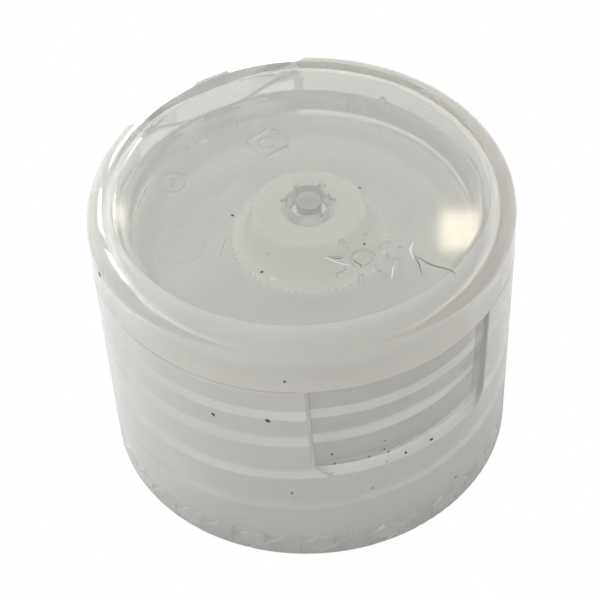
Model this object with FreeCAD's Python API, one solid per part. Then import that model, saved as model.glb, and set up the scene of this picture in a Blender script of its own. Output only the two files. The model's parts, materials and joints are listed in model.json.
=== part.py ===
import FreeCAD, Part

import math
import os

from FreeCAD import Vector

# Flip top screw closure, moulded in one shot of natural polypropylene, shown closed.
# Millimetres, +Z up, origin on the closure's axis in the plane of the skirt's foot.
# The hinge is at +Y and the thumb recess at -Y.

# Whole closure
outer_radius = 13.5          # at the parting plane, where both halves are widest
parting_height = 16.3        # where the lid meets the base
lid_height = 4.2
seat_gap = 0.06              # between the closed lid's rim and the base's shoulder
foot_draft = 0.18            # the skirt narrows to its foot
lid_draft = 0.04             # and the lid to its top
foot_round = 0.25
small_round = 0.3

# Screw socket for the bottle's neck
socket_radius = 12.1         # root of the neck thread
throat_inset = 0.6           # the throat above the thread is narrower
throat_height = 1.7
step_height = 0.5
deck_thickness = 1.2
seal_bead_inset = 1.5        # from the throat's wall to the bead that seals on the neck
seal_bead_width = 0.9
seal_bead_height = 0.45

# Ratchet notches inside the foot, by which the mould's stripper ring holds the skirt
notch_count = 18
notch_height = 1.3
notch_lip = 0.6              # wall left outside the notches
notch_ramp_angle = 10.0
notch_flat_angle = 5.0
notch_start_angle = 2.5

# Thumb recess
recess_top_half_width = 6.45
recess_low_half_width = 6.1
recess_height = 8.1          # below the parting plane
recess_depth = 0.45
recess_corner = 1.3

# Collar that centres the lid
collar_clearance = 0.45      # to the lid's side wall
collar_hinge_clearance = 0.2
collar_wall = 0.9
collar_height = 1.6
bead_rise = 0.15             # retaining beads on collar and lid
bead_half_height = 0.22
collar_bead_height = 1.05    # above the parting plane
lid_bead_height = 0.45

# Spout and its orifice, set forward of the closure's axis
spout_offset = 1.0
spout_top_radius = 3.5
spout_foot_radius = 4.3
spout_clearance = 0.6        # from the spout's top to the lid's ceiling
spout_flare = 1.6
spout_top_wall = 1.2
spout_side_wall = 1.0
orifice_radius = 1.45
orifice_lead_in = 0.3

# Lid
lid_top_fillet = 1.8
lid_top_wall = 1.0
lid_side_wall = 1.3
lid_inner_fillet = 0.9

# Hollow plug under the lid, tapered so that it swings clear of the orifice
plug_clearance = 0.07
plug_taper = 0.18
plug_reach = 1.4             # below the spout's top
plug_wall = 0.4
gusset_count = 6
gusset_thickness = 0.3
gusset_reach = 0.37
gusset_clearance = 0.15      # above the spout's top

# Snap hinge: a centre strap and two thin triangular wings
hinge_face_inset = 1.3       # from the outer radius to the middle of the crowned face
hinge_face_radius = 63.0
hinge_wall = 0.7
hinge_seat_margin = 0.6      # the face runs this far down the base below the wings
hinge_axis_reach = 0.8       # from the face out to the line that the lid turns on
strap_half_width = 1.0
strap_thickness = 0.3
wing_thickness = 0.35
wing_inner_x = 1.3
wing_inner_rise = 0.85       # half the wing's height at its inner end
wing_outer_rise = 2.2        # and where the face ends
wing_pocket_margin = 0.3     # land left between a wing's pocket and the end of the face
wing_edge_gap = 0.1          # between a wing's free edge and its pocket
wing_pocket_depth = 0.6      # in the base; the lid's pockets go right through its wall
film_gap = 0.02              # between the films and the edges of the lid

foot_radius = outer_radius - foot_draft
lid_top_radius = outer_radius - lid_draft
throat_radius = socket_radius - throat_inset
overall_height = parting_height + lid_height
deck_top = parting_height - seat_gap / 2
deck_low = deck_top - deck_thickness
lid_low = parting_height + seat_gap / 2
lid_ceiling = overall_height - lid_top_wall
lid_inner_radius = outer_radius - lid_side_wall
spout_top = lid_ceiling - spout_clearance
hinge_face_y = outer_radius - hinge_face_inset
hinge_inner_y = hinge_face_y - hinge_wall
lid_pocket_depth = lid_side_wall + hinge_wall
recess_low = parting_height - recess_height
wide = 2 * outer_radius      # how far cutting tools reach past the material
beyond = 2.0                 # and how far they pass an open end


def rounded_wire(corners, place):
    """Closed wire through corners (u, v, radius), with a tangent arc where radius is over 0."""
    count = len(corners)
    starts = []
    ends = []
    middles = []
    for index, (u, v, radius) in enumerate(corners):
        here = Vector(u, v, 0)
        before = Vector(*corners[index - 1][:2], 0) - here
        after = Vector(*corners[(index + 1) % count][:2], 0) - here
        before.normalize()
        after.normalize()
        half_turn = before.getAngle(after) / 2
        reach = radius / math.tan(half_turn)
        bisector = before + after
        if radius > 0:
            bisector.normalize()
        starts.append(here + before * reach)
        ends.append(here + after * reach)
        middles.append(here + bisector * (radius / math.sin(half_turn) - radius))
    edges = []
    for index, (u, v, radius) in enumerate(corners):
        start, middle, end = (place(p.x, p.y) for p in (starts[index], middles[index], ends[index]))
        if radius > 0:
            edges.append(Part.Arc(start, middle, end).toShape())
        following = starts[(index + 1) % count]
        following = place(following.x, following.y)
        if end.distanceToPoint(following) > 1e-7:
            edges.append(Part.LineSegment(end, following).toShape())
    return Part.Wire(edges)


def turned(corners, centre_y=0.0):
    """Solid turned about the vertical through (0, centre_y) from corners (radius, height, round)."""
    wire = rounded_wire(corners, lambda r, z: Vector(r, centre_y, z))
    return Part.Face(wire).revolve(Vector(0, centre_y, 0), Vector(0, 0, 1), 360)


def plate_along_y(corners, start_y, end_y):
    """Prism whose section is corners (x, z, round), from start_y to end_y."""
    wire = rounded_wire(corners, lambda x, z: Vector(x, start_y, z))
    return Part.Face(wire).extrude(Vector(0, end_y - start_y, 0))


def block(low, high):
    size = Vector(*high) - Vector(*low)
    return Part.makeBox(size.x, size.y, size.z, Vector(*low))


def body_radius(height):
    """Outer radius of the drafted base at a height."""
    return foot_radius + (outer_radius - foot_radius) * height / deck_top


def crossing_x(circle_radius):
    """Where the crowned hinge face meets a circle about the closure's axis."""
    face_centre = hinge_face_y - hinge_face_radius
    y = (circle_radius**2 - hinge_face_radius**2 + face_centre**2) / (2 * face_centre)
    return math.sqrt(circle_radius**2 - y**2)


def hinge_side(offset=0.0):
    """Everything inside the crowned hinge face, or inside a face that lies deeper by offset."""
    centre = Vector(0, hinge_face_y - hinge_face_radius, -beyond)
    return Part.makeCylinder(hinge_face_radius - offset, overall_height + 2 * beyond, centre)


def wing_rise(x):
    """Half the height of a wing at a distance x from the middle of the hinge."""
    share = (x - wing_inner_x) / (crossing_x(outer_radius) - wing_inner_x)
    return wing_inner_rise + share * (wing_outer_rise - wing_inner_rise)


def wing_outline(inner_x, outer_x, trim):
    """Corners of a wing's outline: short at its inner end, tall at its free edge."""
    return [
        (inner_x, parting_height - wing_rise(inner_x), 0),
        (outer_x, parting_height - wing_rise(outer_x), 0),
        (outer_x, parting_height + wing_rise(outer_x) - trim, 0),
        (inner_x, parting_height + wing_rise(inner_x) - trim, 0),
    ]


def mirrored(shape):
    return shape.mirror(Vector(0, 0, 0), Vector(1, 0, 0))


def repeated(shape, count, centre):
    """Copies of a shape, evenly spaced round the vertical through centre."""
    copies = []
    for index in range(count):
        copy = shape.copy()
        copy.rotate(centre, Vector(0, 0, 1), index * 360 / count)
        copies.append(copy)
    return copies


def wing_pockets(depth):
    """The two pockets that the wings lie in, cut to a depth behind the hinge face."""
    outer_x = crossing_x(outer_radius) - wing_pocket_margin
    outline = wing_outline(wing_inner_x, outer_x, 0)
    pocket = plate_along_y(outline, 0, wide).cut(hinge_side(depth))
    return [pocket, mirrored(pocket)]


def ratchet_notches():
    """Saw-tooth notches round the inside of the skirt's foot."""
    per_degree = math.radians(1) * socket_radius
    ramp = notch_ramp_angle * per_degree
    length = ramp + notch_flat_angle * per_degree
    outline = [
        (0, -beyond, 0),
        (length, -beyond, 0),
        (length, notch_height, 0),
        (ramp, notch_height, 0),
        (0, 0, 0),
    ]
    tooth = plate_along_y(outline, -outer_radius, -socket_radius + beyond)
    lip = Part.makeCylinder(foot_radius - notch_lip, notch_height + 2 * beyond, Vector(0, 0, -beyond))
    tooth = tooth.common(lip)
    tooth.rotate(Vector(0, 0, 0), Vector(0, 0, 1), notch_start_angle)
    return repeated(tooth, notch_count, Vector(0, 0, 0))


def thumb_recess():
    """Shallow panel under the lid's front edge, with a sloping lower lip."""
    top = parting_height + beyond
    outline = [
        (-recess_top_half_width, top, 0),
        (-recess_low_half_width, recess_low, recess_corner),
        (recess_low_half_width, recess_low, recess_corner),
        (recess_top_half_width, top, 0),
    ]
    panel = plate_along_y(outline, -wide, -throat_radius / 2)
    lip_radius = body_radius(recess_low)
    floor_top = body_radius(top) - recess_depth
    core = turned([
        (0, recess_low - 1, 0),
        (lip_radius + 1, recess_low - 1, 0),
        (lip_radius - recess_depth, recess_low + recess_depth, small_round),
        (floor_top, top + 1, 0),
        (0, top + 1, 0),
    ])
    return panel.cut(core)


def base_shell():
    """Skirt, socket, deck and collar, turned about the closure's axis."""
    collar_top = deck_top + collar_height
    collar_outer = lid_inner_radius - collar_clearance
    collar_inner = collar_outer - collar_wall
    bead = deck_top + collar_bead_height
    seal = throat_radius - seal_bead_inset
    step_top = deck_low - throat_height
    return turned([
        (0, deck_low, 0),
        (seal - seal_bead_width / 2, deck_low, 0),
        (seal, deck_low - seal_bead_height, bead_rise),
        (seal + seal_bead_width / 2, deck_low, 0),
        (throat_radius, deck_low, small_round),
        (throat_radius, step_top, 0),
        (socket_radius, step_top - step_height, 0),
        (socket_radius, 0, 0),
        (foot_radius, 0, foot_round),
        (outer_radius, deck_top, 0),
        (collar_outer, deck_top, 0),
        (collar_outer, bead - bead_half_height, 0),
        (collar_outer + bead_rise, bead, bead_rise / 2),
        (collar_outer, bead + bead_half_height, 0),
        (collar_outer, collar_top, small_round),
        (collar_inner, collar_top, small_round),
        (collar_inner, deck_top, small_round),
        (0, deck_top, 0),
    ])


def spout():
    """Flared spout, hollow below and pierced by the orifice."""
    outer = turned([
        (0, deck_low, 0),
        (spout_foot_radius + spout_flare + 1, deck_low, 0),
        (spout_foot_radius + spout_flare + 1, deck_top, 0),
        (spout_foot_radius, deck_top, spout_flare),
        (spout_top_radius, spout_top, small_round),
        (0, spout_top, 0),
    ], -spout_offset)
    ceiling = spout_top - spout_top_wall
    hollow = turned([
        (0, deck_low - 1, 0),
        (spout_foot_radius - spout_side_wall / 2, deck_low - 1, 0),
        (spout_top_radius - spout_side_wall, ceiling, small_round),
        (0, ceiling, 0),
    ], -spout_offset)
    orifice = turned([
        (0, ceiling - 1, 0),
        (orifice_radius, ceiling - 1, 0),
        (orifice_radius, spout_top - orifice_lead_in, 0),
        (orifice_radius + orifice_lead_in, spout_top, 0),
        (orifice_radius + orifice_lead_in, spout_top + 1, 0),
        (0, spout_top + 1, 0),
    ], -spout_offset)
    return outer, hollow.fuse(orifice)


def threaded_base():
    tower, passage = spout()
    base = base_shell().fuse(tower).cut(passage)
    seat_low = parting_height - wing_outer_rise - hinge_seat_margin
    hinge_seat = block((-wide, 0, seat_low), (wide, wide, overall_height)).cut(hinge_side())
    collar_back_y = hinge_inner_y - collar_hinge_clearance
    collar_back = block((-wide, collar_back_y, deck_top), (wide, wide, overall_height))
    cuts = [hinge_seat, collar_back, thumb_recess()]
    cuts += wing_pockets(wing_pocket_depth)
    cuts += ratchet_notches()
    return base.cut(cuts).removeSplitter()


def lid_cavity():
    """The lid's inside, with its retaining bead and a straight wall behind the hinge."""
    bead = lid_low + lid_bead_height
    hollow = turned([
        (0, lid_low - beyond, 0),
        (lid_inner_radius, lid_low - beyond, 0),
        (lid_inner_radius, bead - bead_half_height, 0),
        (lid_inner_radius - bead_rise, bead, bead_rise / 2),
        (lid_inner_radius, bead + bead_half_height, 0),
        (lid_inner_radius, lid_ceiling, lid_inner_fillet),
        (0, lid_ceiling, 0),
    ])
    return hollow.cut(block((-wide, hinge_inner_y, 0), (wide, wide, overall_height)))


def plug():
    """Hollow tapered plug with small gussets round its root, and the bore through it."""
    tip = spout_top - plug_reach
    root_radius = orifice_radius - plug_clearance
    bore_radius = root_radius - plug_taper - plug_wall
    inside_lid = lid_ceiling + lid_top_wall / 2
    centre = Vector(0, -spout_offset, tip)
    tube = turned([
        (0, tip, 0),
        (root_radius - plug_taper, tip, 0.1),
        (root_radius, spout_top, 0),
        (root_radius, inside_lid, 0),
        (0, inside_lid, 0),
    ], -spout_offset)
    bore = Part.makeCylinder(bore_radius, lid_ceiling - tip, centre)
    middle = root_radius - plug_wall / 2
    outline = [
        (middle, inside_lid, 0),
        (middle, spout_top + gusset_clearance, 0),
        (root_radius, spout_top + gusset_clearance, 0),
        (root_radius + gusset_reach, lid_ceiling, 0),
        (root_radius + gusset_reach, inside_lid, 0),
    ]
    gusset = plate_along_y(outline, -gusset_thickness / 2, gusset_thickness / 2)
    gusset.rotate(Vector(0, 0, 0), Vector(0, 0, 1), 90)
    gusset.translate(Vector(0, -spout_offset, 0))
    return tube.fuse(repeated(gusset, gusset_count, centre)), bore


def flip_lid():
    outside = turned([
        (0, lid_low, 0),
        (outer_radius, lid_low, 0),
        (lid_top_radius, overall_height, lid_top_fillet),
        (0, overall_height, 0),
    ])
    stopper, bore = plug()
    lid = outside.common(hinge_side()).cut(lid_cavity()).fuse(stopper)
    return lid.cut([bore] + wing_pockets(lid_pocket_depth)).removeSplitter()


def hinge_strap():
    """Film strap that bulges out between the hinge faces of base and lid."""
    end = Vector(-strap_half_width, hinge_face_y, parting_height)
    width = 2 * strap_half_width
    across = Vector(1, 0, 0)
    roll = Part.makeCylinder(hinge_axis_reach, width, end, across)
    hollow = Part.makeCylinder(hinge_axis_reach - strap_thickness, width, end, across)
    outside = block((-wide, hinge_face_y, 0), (wide, wide, overall_height))
    return roll.cut(hollow).common(outside)


def snap_wing():
    """Thin triangular web between the slanting edges of base and lid, on the +X side."""
    outer_x = crossing_x(outer_radius) - wing_pocket_margin - wing_edge_gap
    outline = wing_outline(wing_inner_x + film_gap, outer_x, film_gap)
    plate = plate_along_y(outline, 0, outer_radius)
    return plate.common(hinge_side()).cut(hinge_side(wing_thickness))


def write(name, shape):
    if shape.ShapeType == "Compound" and len(shape.Solids) == 1:
        shape = shape.Solids[0]
    box = shape.BoundBox
    print(
        f"{name}: {len(shape.Solids)} solid, {shape.Volume:.1f} mm3, valid {shape.isValid()},",
        f"x {box.XMin:.2f} to {box.XMax:.2f}, y {box.YMin:.2f} to {box.YMax:.2f},",
        f"z {box.ZMin:.2f} to {box.ZMax:.2f}",
    )
    shape.exportStep(f"parts/{name}.step")


os.makedirs("parts", exist_ok=True)
write("threaded_base", threaded_base())
write("flip_lid", flip_lid())
write("hinge_strap", hinge_strap())
write("right_snap_wing", snap_wing())
write("left_snap_wing", mirrored(snap_wing()))
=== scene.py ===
import json
import math
import random

import bmesh
import bpy
from mathutils import Matrix, Vector
from mathutils.bvhtree import BVHTree
from mathutils.interpolate import poly_3d_calc

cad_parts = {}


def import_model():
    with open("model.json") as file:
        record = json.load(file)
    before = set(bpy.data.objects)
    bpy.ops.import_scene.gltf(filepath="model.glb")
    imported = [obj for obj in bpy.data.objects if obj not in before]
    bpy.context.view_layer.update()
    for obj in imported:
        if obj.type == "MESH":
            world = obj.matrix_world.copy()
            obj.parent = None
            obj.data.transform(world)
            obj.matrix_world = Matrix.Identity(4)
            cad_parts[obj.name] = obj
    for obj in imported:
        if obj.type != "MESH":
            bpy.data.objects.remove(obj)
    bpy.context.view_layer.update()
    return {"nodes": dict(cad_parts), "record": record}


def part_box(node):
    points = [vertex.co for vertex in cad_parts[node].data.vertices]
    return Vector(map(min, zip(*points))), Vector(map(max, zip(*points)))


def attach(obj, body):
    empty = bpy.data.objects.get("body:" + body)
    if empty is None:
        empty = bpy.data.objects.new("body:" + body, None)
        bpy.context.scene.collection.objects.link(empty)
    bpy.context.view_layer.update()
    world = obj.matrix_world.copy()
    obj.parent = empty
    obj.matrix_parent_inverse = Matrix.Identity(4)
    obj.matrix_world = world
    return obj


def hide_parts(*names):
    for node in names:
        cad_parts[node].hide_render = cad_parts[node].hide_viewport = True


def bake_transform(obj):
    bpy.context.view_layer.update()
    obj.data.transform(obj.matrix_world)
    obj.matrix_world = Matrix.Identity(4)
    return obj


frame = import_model()

MM = 0.001

# Places and sizes read from the frame
_, base_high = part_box("threaded_base")
lid_low, lid_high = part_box("flip_lid")
strap_low, strap_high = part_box("hinge_strap")
wing_low, wing_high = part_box("right_snap_wing")
OUTER_RADIUS = base_high.x
PARTING = lid_low.z
TOP = lid_high.z
HINGE_FACE = strap_low.y
SOCKET = next(m for m in frame["record"]["mounts"] if m["name"] == "neck_socket")
SOCKET_RADIUS = SOCKET["dims"]["r_mm"] * MM

# Lid walls, as the part's source has them
LID_TOP_WALL = 1.0 * MM
LID_FILLET = 1.8 * MM
LID_CEILING = TOP - LID_TOP_WALL

# Round the spout, whose axis lies this far towards the front
SPOUT_OFFSET = 1.0 * MM
SPOUT_REACH = 5 * MM

# Thread inside the skirt: right-handed, 8 turns to the inch
THREAD_PITCH = 3.175 * MM
THREAD_CREST_RADIUS = SOCKET_RADIUS - 0.9 * MM
THREAD_ROOT_RADIUS = SOCKET_RADIUS + 0.15 * MM
THREAD_HALF = 0.85 * MM
THREAD_FLANK = 0.8                    # share of the half width that rises
THREAD_POINTS = 16
THREAD_TURNS = 2.35
THREAD_START = math.radians(-185)     # direction of the lower end, from +X
THREAD_START_HEIGHT = 4.2 * MM
THREAD_FADE = math.radians(35)
THREAD_END_RISE = 0.2                 # share of its height that the rib keeps at its ends
THREAD_STEP = math.radians(4)

# Hinge films, as the part's source has them
HINGE_FACE_RADIUS = 63.0 * MM
WING_INNER_HALF = 0.85 * MM
WING_OUTER_HALF = wing_high.z - PARTING + 0.02 * MM
WING_THICKNESS = 0.35 * MM
STRAP_THICKNESS = 0.3 * MM

# Skirt
FOOT_DRAFT = 0.18 * MM
RECESS_DEPTH = 0.45 * MM
RECESS_LOW = PARTING - 8.1 * MM
RECESS_FLOOR_LOW = RECESS_LOW + RECESS_DEPTH
FOOT_RADIUS = OUTER_RADIUS - FOOT_DRAFT
NOTCH_HEIGHT = 1.3 * MM
NOTCH_COUNT = 18
NOTCH_START = math.radians(2.5)
NOTCH_RAMP = 10
NOTCH_LENGTH = 15                     # ramp and flat together, in whole degrees as the ramp is
NOTCH_LIP = 0.36 * MM                 # 0.24 mm thinner than the CAD's
NOTCH_CLEARANCE = 0.02 * MM           # keeps the cut clear of the CAD's own notch faces

# Marks under the lid's top
MARK_RELIEF = 0.18 * MM
MARK_WIDTH = 0.26 * MM
FAINT_RELIEF = 0.04 * MM
FAINT_WIDTH = 0.12 * MM

# Points this near are one, and points this near lie on the CAD's surface
WELD = 1e-8
ON_SURFACE = 5e-7

# Surface texture
PLASTIC_IOR = 1.49
EDGE_ROUND = 0.12 * MM                # radius at which edges are shaded
CLOUD_SCALE = 160
GRAIN_SCALE = 900

# Studio: the light fades and warms a little from the back left to the front right
LIGHT_TURN = math.radians(50)
FAR_LIGHT = (1.06, 1.08, 1.10)
NEAR_LIGHT = (0.78, 0.75, 0.71)

# Camera: looks down on the closure from its front left, turned a little about its own axis
VIEW_AZIMUTH = math.radians(-27.5)
VIEW_ELEVATION = 0.810130
VIEW_ROLL = -0.051356
VIEW_DISTANCE = 9.740 * OUTER_RADIUS
VIEW_TARGET = Vector((-0.0281 * OUTER_RADIUS, 0, 0.7486 * OUTER_RADIUS))
LENS_MM = 119.65
SENSOR_MM = 36


# ---------------------------------------------------------------- helpers

def about_z(point, angle):
    return Matrix.Rotation(angle, 3, "Z") @ Vector(point)


def polar(radius, angle, height):
    """Point at an angle measured from +X, counter-clockwise seen from above."""
    return Vector((radius * math.cos(angle), radius * math.sin(angle), height))


def new_object(name, bm):
    """Smooth-shaded object from a bmesh, which is freed."""
    mesh = bpy.data.meshes.new(name)
    bmesh.ops.recalc_face_normals(bm, faces=bm.faces)
    for face in bm.faces:
        face.smooth = True
    bm.to_mesh(mesh)
    bm.free()
    obj = bpy.data.objects.new(name, mesh)
    bpy.context.scene.collection.objects.link(obj)
    return obj


def swept(bm, sections, closed=False):
    """Skin through sections, each a ring of points; open sweeps get end caps."""
    rings = [[bm.verts.new(p) for p in section] for section in sections]
    pairs = list(zip(rings, rings[1:]))
    if closed:
        pairs.append((rings[-1], rings[0]))
    count = len(rings[0])
    for ring, following in pairs:
        for i in range(count):
            j = (i + 1) % count
            bm.faces.new((ring[i], ring[j], following[j], following[i]))
    if not closed:
        bm.faces.new(list(reversed(rings[0])))
        bm.faces.new(rings[-1])


def settle(obj):
    """Applies the object's modifiers."""
    graph = bpy.context.evaluated_depsgraph_get()
    mesh = bpy.data.meshes.new_from_object(obj.evaluated_get(graph))
    obj.modifiers.clear()
    obj.data = mesh


def smooth_by_angle(obj, degrees):
    """Smooth shading with sharp edges over an angle."""
    for face in obj.data.polygons:
        face.use_smooth = True
    obj.data.set_sharp_from_angle(angle=math.radians(degrees))


def carry_normals(source, target):
    """Gives the target's corners the source's normals wherever they lie on the source's surface."""
    places = [vertex.co for vertex in source.vertices]
    normals = [corner.vector.copy() for corner in source.corner_normals]
    tree = BVHTree.FromPolygons(places, [tuple(face.vertices) for face in source.polygons])
    carried = []
    for face in target.polygons:
        for index in face.vertices:
            inward = target.vertices[index].co.lerp(face.center, 0.02)
            _, facing, hit, distance = tree.find_nearest(inward)
            if distance > ON_SURFACE or facing.dot(face.normal) < 0.99:
                carried.append((0, 0, 0))
                continue
            piece = source.polygons[hit]
            weights = poly_3d_calc([places[i] for i in piece.vertices], inward)
            total = Vector()
            for corner, weight in zip(piece.loop_indices, weights):
                total += normals[corner] * weight
            carried.append(tuple(total.normalized()))
    target.normals_split_custom_set(carried)


def moulded(name, cad_node, *tools):
    """A CAD node's mesh with each tool's mesh grown onto it or cut out of it."""
    source = frame["nodes"][cad_node].data
    bm = bmesh.new()
    bm.from_mesh(source)
    bmesh.ops.remove_doubles(bm, verts=bm.verts, dist=WELD)
    obj = new_object(name, bm)
    for operation, tool in tools:
        join = obj.modifiers.new("join", "BOOLEAN")
        join.operation = operation
        join.solver = "MANIFOLD"
        join.object = tool
        settle(obj)
        bpy.data.objects.remove(tool)
    smooth_by_angle(obj, 30)
    carry_normals(source, obj.data)
    return obj


# ---------------------------------------------------------------- materials

def node(tree, kind, **settings):
    made = tree.nodes.new(kind)
    for key, value in settings.items():
        setattr(made, key, value)
    return made


def between(tree, factor, low, high):
    """Output that runs from low to high as factor goes from 0 to 1."""
    span = node(tree, "ShaderNodeMapRange")
    span.inputs["To Min"].default_value = low
    span.inputs["To Max"].default_value = high
    tree.links.new(factor, span.inputs["Value"])
    return span.outputs["Result"]


def clouds(tree, scale, detail=4.0):
    """Soft noise in the part's own space."""
    place = node(tree, "ShaderNodeTexCoord")
    cloud = node(tree, "ShaderNodeTexNoise")
    cloud.inputs["Scale"].default_value = scale
    cloud.inputs["Detail"].default_value = detail
    tree.links.new(place.outputs["Object"], cloud.inputs["Vector"])
    return cloud.outputs["Fac"]


def polypropylene(name, colour, roughness, transmission):
    """Natural polypropylene: milky, faintly clouded and uneven in gloss, with edges shaded round."""
    material = bpy.data.materials.new(name)
    material.use_nodes = True
    tree = material.node_tree
    principled = tree.nodes["Principled BSDF"]
    principled.inputs["IOR"].default_value = PLASTIC_IOR
    principled.inputs["Transmission Weight"].default_value = transmission
    cloud = clouds(tree, CLOUD_SCALE)
    mix = node(tree, "ShaderNodeMix", data_type="RGBA")
    mix.inputs[6].default_value = (*[c * 0.985 for c in colour], 1)
    mix.inputs[7].default_value = (*[min(1, c * 1.015) for c in colour], 1)
    tree.links.new(cloud, mix.inputs[0])
    tree.links.new(mix.outputs[2], principled.inputs["Base Color"])
    grain = clouds(tree, GRAIN_SCALE, 3.0)
    uneven = between(tree, grain, roughness * 0.95, roughness * 1.05)
    tree.links.new(uneven, principled.inputs["Roughness"])
    edge = node(tree, "ShaderNodeBevel", samples=4)
    edge.inputs["Radius"].default_value = EDGE_ROUND
    tree.links.new(edge.outputs["Normal"], principled.inputs["Normal"])
    return material


def plain(name, colour, roughness):
    """Opaque, mottled with fine noise."""
    material = bpy.data.materials.new(name)
    material.use_nodes = True
    tree = material.node_tree
    principled = tree.nodes["Principled BSDF"]
    principled.inputs["Roughness"].default_value = roughness
    mix = node(tree, "ShaderNodeMix", data_type="RGBA")
    mix.inputs[6].default_value = (*colour, 1)
    mix.inputs[7].default_value = (*[c * 1.6 for c in colour], 1)
    tree.links.new(clouds(tree, GRAIN_SCALE), mix.inputs[0])
    tree.links.new(mix.outputs[2], principled.inputs["Base Color"])
    return material


# ---------------------------------------------------------------- thread

def thread_section(angle, height, rise):
    """Rounded rib with its root sunk in the wall and its crest towards the axis."""
    outline = []
    for step in range(THREAD_POINTS + 1):
        share = 2 * step / THREAD_POINTS - 1
        flank = min(1, (1 - abs(share)) / THREAD_FLANK)
        reach = flank * flank * (3 - 2 * flank) * rise
        radius = THREAD_ROOT_RADIUS + (THREAD_CREST_RADIUS - THREAD_ROOT_RADIUS) * reach
        outline.append(polar(radius, angle, height + share * THREAD_HALF))
    return outline


def neck_thread():
    total = THREAD_TURNS * math.tau
    steps = round(total / THREAD_STEP)
    sections = []
    for step in range(steps + 1):
        turned = total * step / steps
        fade = min(turned, total - turned) / THREAD_FADE
        rise = THREAD_END_RISE + (1 - THREAD_END_RISE) * math.sin(math.pi / 2 * min(1, fade))
        height = THREAD_START_HEIGHT + THREAD_PITCH * turned / math.tau
        sections.append(thread_section(THREAD_START + turned, height, rise))
    bm = bmesh.new()
    swept(bm, sections)
    return new_object("neck_thread_tool", bm)


def deep_notches():
    """Tool that cuts the ratchet notches a little deeper into the wall than the CAD has them."""
    bm = bmesh.new()
    inner = SOCKET_RADIUS - 0.3 * MM
    outer = FOOT_RADIUS - NOTCH_LIP
    low = -0.1 * MM
    for notch in range(NOTCH_COUNT):
        sections = []
        for step in range(NOTCH_LENGTH + 1):
            angle = NOTCH_START + math.tau * notch / NOTCH_COUNT + math.radians(step)
            top = NOTCH_HEIGHT * min(1, step / NOTCH_RAMP) + NOTCH_CLEARANCE
            corners = ((inner, low), (outer, low), (outer, top), (inner, top))
            sections.append([polar(radius, angle, z) for radius, z in corners])
        swept(bm, sections)
    return new_object("notch_tool", bm)


# ---------------------------------------------------------------- moulded marks on the lid

def ring(bm, centre, radius, width, low, high, start=0.0, sweep=math.tau):
    """Raised ring, or part of one, of rectangular section."""
    whole = sweep >= math.tau
    steps = max(10, round(48 * sweep / math.tau))
    count = steps if whole else steps + 1
    sections = []
    for step in range(count):
        angle = start + sweep * step / steps
        section = [
            (radius - width / 2, low),
            (radius + width / 2, low),
            (radius + width / 2, high),
            (radius - width / 2, high),
        ]
        sections.append([centre + polar(r, angle, z) for r, z in section])
    swept(bm, sections, closed=whole)


def bar(bm, centre, length, width, angle, low, high):
    """Raised straight bar."""
    along = polar(length / 2, angle, 0)
    across = polar(width / 2, angle + math.pi / 2, 0)
    corners = ((-across, low), (across, low), (across, high), (-across, high))
    ends = []
    for end in (-along, along):
        ends.append([centre + end + side + Vector((0, 0, z)) for side, z in corners])
    swept(bm, ends)


def lid_marks():
    """Plain rings and bars where the mould leaves its marks under the lid's top."""
    low = LID_CEILING - MARK_RELIEF
    high = LID_CEILING + MARK_RELIEF
    bm = bmesh.new()

    # square frame with a ring in it, towards the hinge
    place = Vector((0.4, 5.0, 0)) * MM
    half = 1.05 * MM
    for quarter in range(4):
        angle = math.radians(8 + 90 * quarter)
        bar(bm, place + polar(half, angle, 0), 1.7 * MM, MARK_WIDTH, angle + math.pi / 2, low, high)
    ring(bm, place, 0.5 * MM, MARK_WIDTH, low, high)

    # small ring with a pointer
    place = Vector((-6.45, 4.85, 0)) * MM
    ring(bm, place, 0.85 * MM, MARK_WIDTH, low, high)
    bar(bm, place, 0.7 * MM, MARK_WIDTH, math.radians(60), low, high)

    # faint rings of two ejector pins
    ring(bm, Vector((-8.6, -0.25, 0)) * MM, 1.62 * MM, FAINT_WIDTH, LID_CEILING - FAINT_RELIEF, high)
    ring(bm, Vector((8.3, 1.2, 0)) * MM, 1.4 * MM, FAINT_WIDTH, LID_CEILING - FAINT_RELIEF, high,
         math.radians(120), math.radians(150))

    # dial: a ring of short ticks round a plain ring
    place = Vector((0.3, -7.1, 0)) * MM
    ring(bm, place, 0.65 * MM, MARK_WIDTH, low, high)
    for tick in range(8):
        angle = math.tau * tick / 8 + math.radians(11)
        bar(bm, place + polar(1.75 * MM, angle, 0), 0.75 * MM, MARK_WIDTH, angle, low, high)
    bar(bm, Vector((2.1, -8.6, 0)) * MM, 2.6 * MM, MARK_WIDTH, math.radians(62), low, high)

    # row of short bars near the rim
    for index, length in enumerate((1.3, 0.7, 1.1)):
        place = Vector((6.7 + 1.05 * index, 5.3 - 0.45 * index, 0)) * MM
        bar(bm, place, length * MM, MARK_WIDTH, math.radians(52 + 14 * index), low, high)
    bar(bm, Vector((-6.4, -1.8, 0)) * MM, 1.5 * MM, FAINT_WIDTH, math.radians(50), low, high)
    return new_object("lid_marks_tool", bm)


# ---------------------------------------------------------------- hinge films

def hinge_face_depth(x):
    """How far the crowned hinge face falls back at a distance x from its middle."""
    return HINGE_FACE_RADIUS - math.sqrt(HINGE_FACE_RADIUS**2 - x**2)


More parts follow.
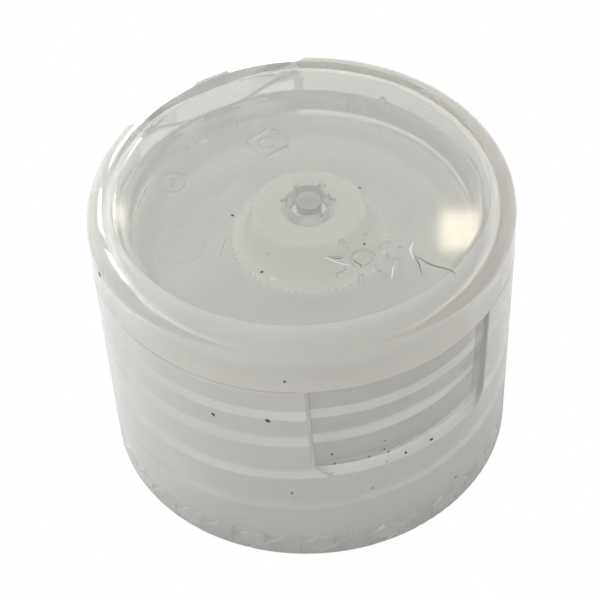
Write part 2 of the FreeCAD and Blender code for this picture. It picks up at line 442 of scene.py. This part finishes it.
def snap_wing(name, side):
    """Thin web that tapers towards the strap; side is 1 or -1 along X."""
    bm = bmesh.new()
    columns = 24
    rows = 40
    sections = []
    for column in range(columns + 1):
        share = column / columns
        x = wing_low.x + (wing_high.x - wing_low.x) * share
        half = WING_INNER_HALF + (WING_OUTER_HALF - WING_INNER_HALF) * share
        face = HINGE_FACE - hinge_face_depth(x)
        front = []
        back = []
        for row in range(rows + 1):
            z = PARTING - half + 2 * half * row / rows
            front.append(Vector((side * x, face, z)))
            back.append(Vector((side * x, face - WING_THICKNESS, z)))
        sections.append(front + back[::-1])
    swept(bm, sections)
    return new_object(name, bm)


def strap():
    """Film strap that bulges out between the two hinge faces."""
    bm = bmesh.new()
    steps = 36
    outer = strap_high.y - HINGE_FACE
    inner = outer - STRAP_THICKNESS
    half = strap_high.x
    sections = []
    for step in range(steps + 1):
        angle = -math.pi / 2 + math.pi * step / steps
        section = []
        for radius, x in ((inner, -half), (outer, -half), (outer, half), (inner, half)):
            y = HINGE_FACE + radius * math.cos(angle)
            z = PARTING + radius * math.sin(angle)
            section.append(Vector((x, y, z)))
        sections.append(section)
    swept(bm, sections)
    return new_object("hinge_strap_film", bm)


# ---------------------------------------------------------------- dirt and wear

def blob(bm, place, normal, size, seed):
    """Flat speck of dirt of an uneven outline, lying on a surface."""
    draw = random.Random(seed)
    turn = normal.to_track_quat("Z", "Y").to_matrix()
    stretch = 1 + 0.6 * draw.random()
    spin = draw.random() * math.pi
    rim = []
    count = 10
    for index in range(count):
        angle = math.tau * index / count
        reach = size * (0.8 + 0.4 * draw.random())
        flat = Vector((reach * stretch * math.cos(angle), reach * math.sin(angle), 0))
        rim.append(turn @ about_z(flat, spin))
    lowest = [bm.verts.new(place + p * 0.9 - normal * 0.01 * MM) for p in rim]
    middle = [bm.verts.new(place + p + normal * 0.005 * MM) for p in rim]
    crown = [bm.verts.new(place + p * 0.6 + normal * 0.015 * MM) for p in rim]
    for lower, upper in ((lowest, middle), (middle, crown)):
        for i in range(count):
            j = (i + 1) % count
            bm.faces.new((lower[i], lower[j], upper[j], upper[i]))
    bm.faces.new(crown)
    bm.faces.new(list(reversed(lowest)))


def on_wall(azimuth, height):
    """Point and outward direction on the skirt's or lid's side wall; azimuth 0 is -Y, positive to +X."""
    angle = math.radians(azimuth - 90)
    draft = FOOT_DRAFT * max(0, 1 - height / PARTING)
    outward = polar(1, angle, 0)
    return outward * (OUTER_RADIUS - draft - 0.004 * MM) + Vector((0, 0, height)), outward


def specks():
    """Dark specks on the skirt and the lid, as two pieces."""
    draw = random.Random(7)
    skirt_bm = bmesh.new()
    wall = [
        (-54, 13.1, 0.11),
        (-39, 13.6, 0.16),
        (-34, 6.6, 0.07),
        (-12, 6.2, 0.07),
        (16, 2.8, 0.09),
        (6, 8.6, 0.1),
    ]
    for index, (azimuth, height, size) in enumerate(wall):
        blob(skirt_bm, *on_wall(azimuth, height * MM), size * MM, index)
    for index in range(16):
        azimuth = draw.uniform(-24, 4)
        height = draw.uniform(7.2, 10.2) * MM
        size = draw.choice((0.035, 0.05, 0.07, 0.09))
        place, outward = on_wall(azimuth, height)
        inset = RECESS_DEPTH if height > RECESS_FLOOR_LOW and abs(azimuth) < 27 else 0
        blob(skirt_bm, place - outward * inset, outward, size * MM, 50 + index)
    for index in range(22):
        azimuth = draw.uniform(-100, 60)
        height = draw.uniform(1.5, 15.5) * MM
        if height < RECESS_FLOOR_LOW - 1.2 * MM or abs(azimuth) > 34:
            blob(skirt_bm, *on_wall(azimuth, height), draw.uniform(0.02, 0.045) * MM, 90 + index)
    lid_bm = bmesh.new()
    blob(lid_bm, *on_wall(-34, 17.3 * MM), 0.09 * MM, 200)
    blob(lid_bm, *on_wall(-96, TOP - LID_FILLET - 0.2 * MM), 0.16 * MM, 201)
    up = Vector((0, 0, 1))
    top = [
        (-4.9, -0.2, 0.09),
        (3.0, -2.2, 0.07),
        (-5.7, -5.4, 0.09),
        (-10.4, 2.6, 0.06),
        (0.7, -6.6, 0.07),
        (1.4, -8.1, 0.05),
    ]
    for index, (x, y, size) in enumerate(top):
        blob(lid_bm, Vector((x * MM, y * MM, TOP)), up, size * MM, 210 + index)
    for index in range(16):
        place = polar(draw.uniform(1, 11.3) * MM, draw.uniform(0, math.tau), TOP)
        blob(lid_bm, place, up, draw.uniform(0.018, 0.04) * MM, 230 + index)
    return new_object("skirt_specks", skirt_bm), new_object("lid_specks", lid_bm)


def hairline(bm, points, width):
    """Thin line through points on the lid's flat top, along a smooth curve."""
    curve = []
    for index in range(len(points) - 1):
        before = points[max(0, index - 1)]
        start = points[index]
        end = points[index + 1]
        after = points[min(len(points) - 1, index + 2)]
        for step in range(8):
            t = step / 8
            curve.append(0.5 * (2 * start + (end - before) * t
                                + (2 * before - 5 * start + 4 * end - after) * t**2
                                + (3 * start - before - 3 * end + after) * t**3))
    curve.append(points[-1])
    sections = []
    for index, place in enumerate(curve):
        ahead = curve[min(index + 1, len(curve) - 1)] - curve[max(index - 1, 0)]
        across = Vector((-ahead.y, ahead.x, 0)).normalized()
        share = index / (len(curve) - 1)
        half = width * (0.35 + 0.65 * math.sin(math.pi * share)) / 2
        low = Vector((0, 0, -0.01 * MM))
        high = Vector((0, 0, 0.004 * MM))
        sections.append([place - across * half + low, place + across * half + low,
                         place + across * half + high, place - across * half + high])
    swept(bm, sections)


def on_top(*places):
    return [Vector((x * MM, y * MM, TOP)) for x, y in places]


def scratches():
    """Dark and light scratches on the lid's flat top, as two pieces."""
    dark = bmesh.new()
    hairline(dark, on_top((2.7, -8.9), (3.0, -9.6), (3.2, -10.2), (3.9, -11.1), (4.0, -11.6)), 0.06 * MM)
    hairline(dark, on_top((2.7, -9.1), (2.6, -9.8), (2.3, -10.5)), 0.05 * MM)
    hairline(dark, on_top((-0.9, -6.9), (-1.3, -6.8), (-1.6, -6.5)), 0.05 * MM)
    hairline(dark, on_top((-0.6, -7.4), (-0.4, -7.9), (-0.5, -8.2)), 0.04 * MM)
    light = bmesh.new()
    hairline(light, on_top((3.3, -8.0), (2.8, -8.5), (2.6, -9.2)), 0.12 * MM)
    hairline(light, on_top((-1.9, -6.3), (-1.4, -7.2), (-0.9, -7.7)), 0.1 * MM)
    hairline(light, on_top((-5.6, -6.1), (-5.2, -6.4)), 0.12 * MM)
    hairline(light, on_top((0.6, -9.9), (1.3, -9.0)), 0.07 * MM)
    return new_object("lid_dark_scratches", dark), new_object("lid_light_scratches", light)


# ---------------------------------------------------------------- stage

def camera():
    """The photograph's camera, as fitted to the closure's outline."""
    data = bpy.data.cameras.new("camera")
    data.lens = LENS_MM
    data.sensor_width = SENSOR_MM
    obj = bpy.data.objects.new("camera", data)
    bpy.context.scene.collection.objects.link(obj)
    back = Vector((0, -math.cos(VIEW_ELEVATION), math.sin(VIEW_ELEVATION)))
    right = Vector((1, 0, 0))
    up = back.cross(right)
    rolled_right = math.cos(VIEW_ROLL) * right + math.sin(VIEW_ROLL) * up
    rolled_up = -math.sin(VIEW_ROLL) * right + math.cos(VIEW_ROLL) * up
    place = VIEW_TARGET + VIEW_DISTANCE * back
    axes = [about_z(v, VIEW_AZIMUTH) for v in (rolled_right, rolled_up, back)]
    turn = Matrix(axes).transposed().to_4x4()
    obj.matrix_world = Matrix.Translation(about_z(place, VIEW_AZIMUTH)) @ turn
    bpy.context.scene.camera = obj


def floor():
    """Pale floor that the camera sees as white."""
    bm = bmesh.new()
    reach = 40 * OUTER_RADIUS
    corners = [(-reach, -reach), (reach, -reach), (reach, reach), (-reach, reach)]
    bm.faces.new([bm.verts.new((x, y, -0.02 * MM)) for x, y in corners])
    obj = new_object("floor", bm)
    material = bpy.data.materials.new("pale_floor")
    material.use_nodes = True
    tree = material.node_tree
    tree.nodes.clear()
    out = node(tree, "ShaderNodeOutputMaterial")
    diffuse = node(tree, "ShaderNodeBsdfDiffuse")
    diffuse.inputs["Color"].default_value = (0.9, 0.9, 0.9, 1)
    white = node(tree, "ShaderNodeEmission")
    white.inputs["Strength"].default_value = 1
    path = node(tree, "ShaderNodeLightPath")
    mix = node(tree, "ShaderNodeMixShader")
    tree.links.new(path.outputs["Is Camera Ray"], mix.inputs[0])
    tree.links.new(diffuse.outputs[0], mix.inputs[1])
    tree.links.new(white.outputs[0], mix.inputs[2])
    tree.links.new(mix.outputs[0], out.inputs["Surface"])
    obj.data.materials.append(material)


def world():
    """Light that fades from the back left to the front right, which the camera sees as white."""
    made = bpy.data.worlds.new("studio")
    made.use_nodes = True
    bpy.context.scene.world = made
    tree = made.node_tree
    background = tree.nodes["Background"]
    direction = node(tree, "ShaderNodeTexCoord")
    turn = node(tree, "ShaderNodeMapping", vector_type="POINT")
    turn.inputs["Rotation"].default_value = (0, 0, LIGHT_TURN - VIEW_AZIMUTH)
    split = node(tree, "ShaderNodeSeparateXYZ")
    tree.links.new(direction.outputs["Generated"], turn.inputs["Vector"])
    tree.links.new(turn.outputs["Vector"], split.inputs["Vector"])
    share = node(tree, "ShaderNodeMapRange")
    share.inputs["From Min"].default_value = -1
    tree.links.new(split.outputs["X"], share.inputs["Value"])
    light = node(tree, "ShaderNodeMix", data_type="RGBA")
    light.inputs[6].default_value = (*FAR_LIGHT, 1)
    light.inputs[7].default_value = (*NEAR_LIGHT, 1)
    tree.links.new(share.outputs["Result"], light.inputs[0])
    seen = node(tree, "ShaderNodeMix", data_type="RGBA")
    seen.inputs[7].default_value = (1, 1, 1, 1)
    path = node(tree, "ShaderNodeLightPath")
    tree.links.new(path.outputs["Is Camera Ray"], seen.inputs[0])
    tree.links.new(light.outputs[2], seen.inputs[6])
    tree.links.new(seen.outputs[2], background.inputs["Color"])


def place_lamp(name, place, away, width, height, power, colour):
    data = bpy.data.lights.new(name, "AREA")
    data.shape = "RECTANGLE"
    data.size = width
    data.size_y = height
    data.energy = power
    data.color = colour
    obj = bpy.data.objects.new(name, data)
    bpy.context.scene.collection.objects.link(obj)
    obj.location = place
    obj.rotation_euler = away.to_track_quat("Z", "Y").to_euler()


def mirrored_lamp(name, spot, distance, size, power, colour):
    """Small square lamp that the camera sees mirrored at a spot on the lid's flat top."""
    spot = spot + Vector((0, 0, TOP))
    seen = (bpy.context.scene.camera.matrix_world.translation - spot).normalized()
    away = Vector((-seen.x, -seen.y, seen.z))
    place_lamp(name, spot + away * distance, away, size, size, power, colour)


def lamp(name, azimuth, elevation, distance, width, height, power):
    """Area lamp aimed at the lid; azimuth is counted from the camera's side, to the right."""
    turn = math.radians(azimuth)
    tilt = math.radians(elevation)
    aim = Vector((0, 0, TOP))
    away = Vector((math.sin(turn) * math.cos(tilt), -math.cos(turn) * math.cos(tilt), math.sin(tilt)))
    away = about_z(away, VIEW_AZIMUTH)
    place_lamp(name, aim + away * distance, away, width, height, power, (1, 1, 1))


# ---------------------------------------------------------------- the part

def paint(obj, *rules):
    """Gives each face the material of the last rule that holds for its centre and normal."""
    obj.data.materials.clear()
    for material, _ in rules:
        obj.data.materials.append(material)
    for face in obj.data.polygons:
        for index, (_, holds) in enumerate(rules):
            if holds(face.center, face.normal):
                face.material_index = index


def outside(place, normal):
    """On the wall's outer side: the skirt's and lid's outline, the lid's top and the hinge face."""
    flat = Vector((place.x, place.y, 0))
    sideways = flat.length > OUTER_RADIUS - 1.05 * MM and normal.dot(flat) > 0
    return sideways or place.z > LID_CEILING + 0.5 * LID_TOP_WALL


def on_lid_top(place, normal):
    return place.z > TOP - 0.02 * MM


# Level faces of the lid's rim, which get a painted warm glow
def on_lid_rim(place, normal):
    return place.z < lid_low.z + 0.01 * MM and normal.z < -0.9


def in_recess(place, normal):
    front = place.y < 0 and abs(place.x) < 6.4 * MM and place.z > RECESS_FLOOR_LOW
    return front and outside(place, normal) and math.hypot(place.x, place.y) < OUTER_RADIUS - 0.3 * MM


def on_recess_edge(place, normal):
    """The recess's side walls and its sloping lower lip, which get a painted highlight."""
    front = place.y < -OUTER_RADIUS / 2 and abs(place.x) < 6.6 * MM
    level = RECESS_LOW - 0.1 * MM < place.z < PARTING
    steep = abs(normal.x) > 0.9 or abs(normal.z) > 0.2
    outer = math.hypot(place.x, place.y) > OUTER_RADIUS - 0.6 * MM
    return front and level and steep and outer and normal.y < 0.3


# The spout and the deck round it, above the parting, which get painted warm light
def on_spout(place, normal):
    return place.z > PARTING + 0.05 * MM and math.hypot(place.x, place.y + SPOUT_OFFSET) < SPOUT_REACH


def on_ratchet(place, normal):
    within = 0.01 * MM < place.z < NOTCH_HEIGHT - 0.01 * MM
    return within and normal.z < -0.05 and place.length < OUTER_RADIUS - 0.5 * MM


def on_pocket_edge(place, normal):
    """Slanting edges of the pockets that the snap wings lie in, which get a painted highlight."""
    slanting = 0.1 < abs(normal.z) < 0.99 and 1.2 * MM < abs(place.x) < 6.3 * MM
    upright = abs(normal.x) > 0.98 and 6 * MM < abs(place.x) < 7 * MM
    return place.y > HINGE_FACE - 1.7 * MM and (slanting or upright)


skirt_outside = polypropylene("skirt_outside", (0.92, 0.92, 0.905), 0.16, 0.80)
skirt_inside = polypropylene("skirt_inside", (0.90, 0.90, 0.885), 0.25, 0.70)
recess_plastic = polypropylene("recess_plastic", (0.88, 0.885, 0.875), 0.05, 0.88)
# Painted highlight: whiter, more opaque plastic on the recess's edges, where they catch the light
recess_edge_painted_highlight = polypropylene("recess_edge_painted_highlight", (0.95, 0.95, 0.93), 0.2, 0.5)
ratchet_plastic = polypropylene("ratchet_plastic", (0.99, 0.99, 0.98), 0.3, 0.1)
# Painted highlight: near-white, almost opaque plastic on the pockets' edges, where they catch the light
pocket_edge_painted_highlight = polypropylene("pocket_edge_painted_highlight", (0.99, 0.99, 0.98), 0.3, 0.05)
# Painted warm light: the spout is made opaque, whiter and warmer than the rest of the plastic
spout_painted_warm_light = polypropylene("spout_painted_warm_light", (0.99, 0.96, 0.92), 0.25, 0.05)
lid_top = polypropylene("lid_top", (0.92, 0.92, 0.89), 0.05, 0.80)
lid_outside = polypropylene("lid_outside", (0.89, 0.885, 0.855), 0.06, 0.62)
lid_inside = polypropylene("lid_inside", (0.90, 0.90, 0.87), 0.08, 0.76)
# Painted warm glow: cream, half-opaque plastic on the lid's rim, standing in for warm light seen through
# the wall
lid_rim_painted_glow = polypropylene("lid_rim_painted_glow", (0.97, 0.92, 0.78), 0.3, 0.3)
film_plastic = polypropylene("film_plastic", (0.85, 0.86, 0.84), 0.15, 0.85)
dirt = plain("dirt", (0.02, 0.017, 0.015), 0.6)
scuff = plain("scuff", (0.55, 0.55, 0.53), 0.3)

skirt = moulded("skirt_and_spout", "threaded_base",
                ("UNION", neck_thread()),
                ("DIFFERENCE", deep_notches()))
paint(skirt,
      (skirt_inside, lambda place, normal: True),
      (skirt_outside, outside),
      (recess_plastic, in_recess),
      # painted highlight on the recess's edges
      (recess_edge_painted_highlight, on_recess_edge),
      (ratchet_plastic, on_ratchet),
      # painted highlight on the pockets' edges
      (pocket_edge_painted_highlight, on_pocket_edge),
      # painted warm light on the spout
      (spout_painted_warm_light, on_spout))
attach(skirt, "base")
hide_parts("threaded_base")

lid = moulded("lid_and_plug", "flip_lid", ("UNION", lid_marks()))
paint(lid,
      (lid_inside, lambda place, normal: True),
      (lid_outside, outside),
      (lid_top, on_lid_top),
      # painted warm glow on the rim
      (lid_rim_painted_glow, on_lid_rim),
      # painted highlight on the pockets' edges
      (pocket_edge_painted_highlight, on_pocket_edge))
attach(lid, "lid")
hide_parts("flip_lid")

films = [
    (strap(), "hinge_strap"),
    (snap_wing("right_snap_wing_film", 1), "right_snap_wing"),
    (snap_wing("left_snap_wing_film", -1), "left_snap_wing"),
]
for film, cad_node in films:
    smooth_by_angle(film, 40)
    film.data.materials.append(film_plastic)
    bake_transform(film)
    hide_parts(cad_node)

skirt_dirt, lid_dirt = specks()
dark_lines, light_lines = scratches()
for piece, body, material, slot in (
    (skirt_dirt, "base", dirt, "base_plastic"),
    (lid_dirt, "lid", dirt, "lid_plastic"),
    (dark_lines, "lid", dirt, "lid_plastic"),
    (light_lines, "lid", scuff, "lid_plastic"),
):
    piece.data.materials.append(material)
    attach(piece, body)

camera()
floor()
world()
for azimuth in (-160, -133, -106):
    lamp(f"window{-azimuth}", azimuth, 20, 0.4, 0.12, 0.08, 0.3)
mirrored_lamp("warm_lamp", Vector((6.2, -8.6, 0)) * MM, 0.3, 0.008, 0.002, (1, 0.86, 0.64))
mirrored_lamp("low_warm_lamp", Vector((-11.0, 3.6, 0)) * MM, 0.3, 0.004, 0.0004, (1, 0.88, 0.68))

scene = bpy.context.scene
scene.view_settings.view_transform = "Standard"
